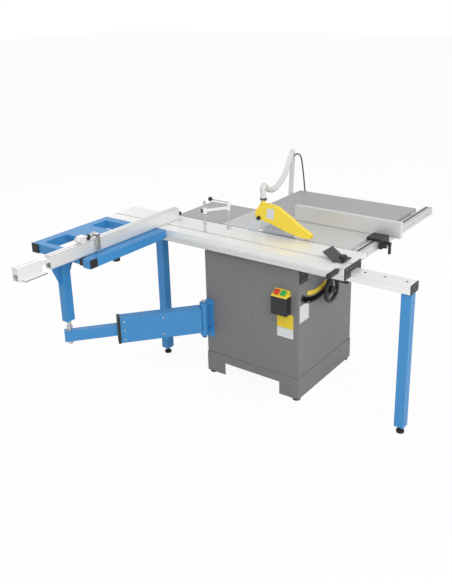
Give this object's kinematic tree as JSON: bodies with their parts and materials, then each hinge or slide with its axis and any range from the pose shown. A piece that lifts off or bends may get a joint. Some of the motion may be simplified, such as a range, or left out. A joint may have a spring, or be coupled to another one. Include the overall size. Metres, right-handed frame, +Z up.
{
  "type": "sliding table saw",
  "caption": "Sliding table saw with a tilting blade, a rolling carriage, a crosscut frame on a swing arm, a rip fence and extension tables.",
  "frame": {"origin": "middle of the machine's footprint on the floor", "axes": "+X to the operator's right, +Y along the feed, +Z up"},
  "size_m": [2.15, 1.897, 1.1454],
  "materials": {
    "grey_paint": "satin",
    "dark_paint": "satin",
    "blue_paint": "satin",
    "cast_table": "ground",
    "sheet_table": "satin",
    "alu": "anodised",
    "steel": "ground",
    "black_plastic": "matte",
    "yellow_plastic": "gloss",
    "red_plastic": "gloss",
    "green_plastic": "gloss",
    "rubber": "matte",
    "hose": "translucent",
    "iron": "rough"
  },
  "bodies": {
    "base": {"plinth": "grey_paint", "cabinet": "grey_paint", "levelling_feet": "rubber", "main_table": "cast_table", "right_extension": "sheet_table", "rear_extension": "sheet_table", "rip_rail": "alu", "carriage_rail": "alu", "rail_fittings": "black_plastic", "support_legs": "blue_paint", "switch_box": "black_plastic", "switch_cover": "yellow_plastic", "tilt_scale": "yellow_plastic", "trunnions": "iron", "arm_bracket": "blue_paint", "hose_support": "black_plastic", "hose_drop": "hose"},
    "start_button_body": {"start_button": "green_plastic"},
    "stop_button_body": {"stop_button": "red_plastic"},
    "carriage": {"carriage_table": "alu", "carriage_caps": "black_plastic", "push_handle": "black_plastic", "outrigger_frame": "blue_paint", "outrigger_caps": "black_plastic", "support_post": "blue_paint"},
    "cages": {"ball_cages": "steel"},
    "fence": {"crosscut_fence": "alu", "fence_knob": "black_plastic"},
    "extension": {"fence_extension": "alu"},
    "stop": {"stop_block": "alu"},
    "flip_arm": {"stop_arm": "alu"},
    "clamp": {"clamp_post": "steel"},
    "clamp_head": {"clamp_arm": "alu"},
    "clamp_spindle": {"clamp_rod": "steel"},
    "clamp_handle": {"clamp_lever": "steel"},
    "shoe": {"ripping_shoe": "steel"},
    "shoe_handle": {"shoe_knob": "black_plastic"},
    "arm_box": {"swing_box": "blue_paint", "swing_cap": "black_plastic"},
    "arm_inner": {"swing_tube": "blue_paint", "support_nuts": "steel"},
    "cradle": {"tilt_cradle": "iron", "hose_rise": "hose"},
    "lift": {"lift_casting": "iron", "motor": "dark_paint", "drive_belt": "rubber", "riving_knife": "steel", "hose_sag": "hose"},
    "spindle": {"saw_blade": "steel", "arbor": "steel"},
    "rotor": {"motor_pulley": "alu"},
    "wheel": {"handwheel": "black_plastic"},
    "grip": {"wheel_grip": "black_plastic"},
    "guard_bolt": {"guard_knob": "black_plastic", "hose_bend": "hose"},
    "guard": {"blade_guard": "yellow_plastic", "hose_guard": "hose"},
    "rip_slide": {"rip_head": "black_plastic"},
    "rip_lock": {"rip_lever": "black_plastic"},
    "rip_plate": {"rip_fence": "alu"}
  },
  "joints": [
    {"name": "carriage_slide", "type": "slide", "parent": "base", "child": "carriage", "axis": [0, -1, 0], "range_m": [0, 0.9]},
    {"name": "cage_slide", "type": "slide", "parent": "base", "child": "cages", "axis": [0, -1, 0], "range_m": [0, 0.45]},
    {"name": "fence_pivot", "type": "hinge", "parent": "carriage", "child": "fence", "pos_m": [0.02, 0.5545, 0.852], "axis": [0, 0, 1], "range_deg": [-30, 30]},
    {"name": "extension_slide", "type": "slide", "parent": "fence", "child": "extension", "axis": [-1, 0, 0], "range_m": [-0.05, 0.25]},
    {"name": "stop_slide", "type": "slide", "parent": "fence", "child": "stop", "axis": [1, 0, 0], "range_m": [-0.15, 0.5]},
    {"name": "stop_flip", "type": "hinge", "parent": "stop", "child": "flip_arm", "pos_m": [-0.577, 0.5545, 0.942], "axis": [-1, 0, 0], "range_deg": [0, 90]},
    {"name": "clamp_slide", "type": "slide", "parent": "carriage", "child": "clamp", "axis": [0, -1, 0], "range_m": [-0.1, 0.25]},
    {"name": "clamp_height", "type": "slide", "parent": "clamp", "child": "clamp_head", "axis": [0, 0, 1], "range_m": [0, 0.035]},
    {"name": "clamp_press", "type": "slide", "parent": "clamp_head", "child": "clamp_spindle", "axis": [0, 0, -1], "range_m": [0, 0.005]},
    {"name": "clamp_lever_turn", "type": "hinge", "parent": "clamp_head", "child": "clamp_handle", "pos_m": [0.09, 0.1825, 1.001], "axis": [0.5313, 0.8472, 0], "range_deg": [0, 40]},
    {"name": "shoe_slide", "type": "slide", "parent": "carriage", "child": "shoe", "axis": [0, -1, 0], "range_m": [-0.3, 0.02]},
    {"name": "shoe_knob_turn", "type": "hinge", "parent": "shoe", "child": "shoe_handle", "pos_m": [-0.028, -0.5895, 0.87], "axis": [0, 0, 1], "range_deg": [-360, 360]},
    {"name": "arm_swing", "type": "hinge", "parent": "base", "child": "arm_box", "pos_m": [-0.095, 0.2365, 0.36], "axis": [0, 0, 1], "range_deg": [-5, 90]},
    {"name": "arm_telescope", "type": "slide", "parent": "arm_box", "child": "arm_inner", "axis": [-0.7634, 0.6459, 0], "range_m": [-0.14, 0.03]},
    {"name": "blade_tilt", "type": "hinge", "parent": "base", "child": "cradle", "pos_m": [0.14, -0.1105, 0.85], "axis": [0, 1, 0], "range_deg": [0, 45], "deforming": ["hose_rise"]},
    {"name": "blade_lift", "type": "slide", "parent": "cradle", "child": "lift", "axis": [0, 0, 1], "range_m": [-0.055, 0], "deforming": ["hose_sag"]},
    {"name": "blade_spin", "type": "hinge", "parent": "lift", "child": "spindle", "pos_m": [0.14, -0.1105, 0.798], "axis": [1, 0, 0], "continuous": true},
    {"name": "motor_spin", "type": "hinge", "parent": "lift", "child": "rotor", "pos_m": [0.241, -0.1105, 0.61], "axis": [1, 0, 0], "continuous": true},
    {"name": "wheel_turn", "type": "hinge", "parent": "cradle", "child": "wheel", "pos_m": [0.2342, -0.3905, 0.56517], "axis": [0, 1, 0], "range_deg": [-2000, 10]},
    {"name": "grip_spin", "type": "hinge", "parent": "wheel", "child": "grip", "pos_m": [0.2342, -0.4355, 0.62917], "axis": [0, 1, 0], "continuous": true},
    {"name": "guard_follow", "type": "hinge", "parent": "lift", "child": "guard_bolt", "pos_m": [0.14, 0.0045, 0.933], "axis": [-1, 0, 0], "range_deg": [0, 12], "deforming": ["hose_bend"]},
    {"name": "guard_raise", "type": "hinge", "parent": "guard_bolt", "child": "guard", "pos_m": [0.14, 0.0045, 0.933], "axis": [-1, 0, 0], "range_deg": [0, 18], "deforming": ["hose_guard"]},
    {"name": "rip_slide", "type": "slide", "parent": "base", "child": "rip_slide", "axis": [1, 0, 0], "range_m": [-0.165, 0.5]},
    {"name": "rip_lock_turn", "type": "hinge", "parent": "rip_slide", "child": "rip_lock", "pos_m": [0.386, -0.6355, 0.827], "axis": [0, 1, 0], "range_deg": [0, 60]},
    {"name": "rip_plate_slide", "type": "slide", "parent": "rip_slide", "child": "rip_plate", "axis": [0, -1, 0], "range_m": [-0.1, 0.15]},
    {"name": "start_press", "type": "slide", "parent": "base", "child": "start_button_body", "axis": [0.5736, 0, -0.8192], "range_m": [0, 0.004], "stiffness_N_per_m": 400},
    {"name": "stop_press", "type": "slide", "parent": "base", "child": "stop_button_body", "axis": [0.5736, 0, -0.8192], "range_m": [0, 0.004], "stiffness_N_per_m": 400}
  ],
  "couplings": [
    {"joint": "clamp_press", "follows": "clamp_lever_turn", "m_per_rad": 0.007},
    {"joint": "cage_slide", "follows": "carriage_slide", "ratio": 0.5},
    {"joint": "arm_swing", "follows": "carriage_slide", "rad_per_m": 1.493},
    {"joint": "arm_telescope", "follows": "carriage_slide", "ratio": -0.03875},
    {"joint": "motor_spin", "follows": "blade_spin", "ratio": 0.68182},
    {"joint": "wheel_turn", "follows": "blade_lift", "rad_per_m": 628.32},
    {"joint": "guard_follow", "follows": "blade_lift", "rad_per_m": -3.4272}
  ]
}
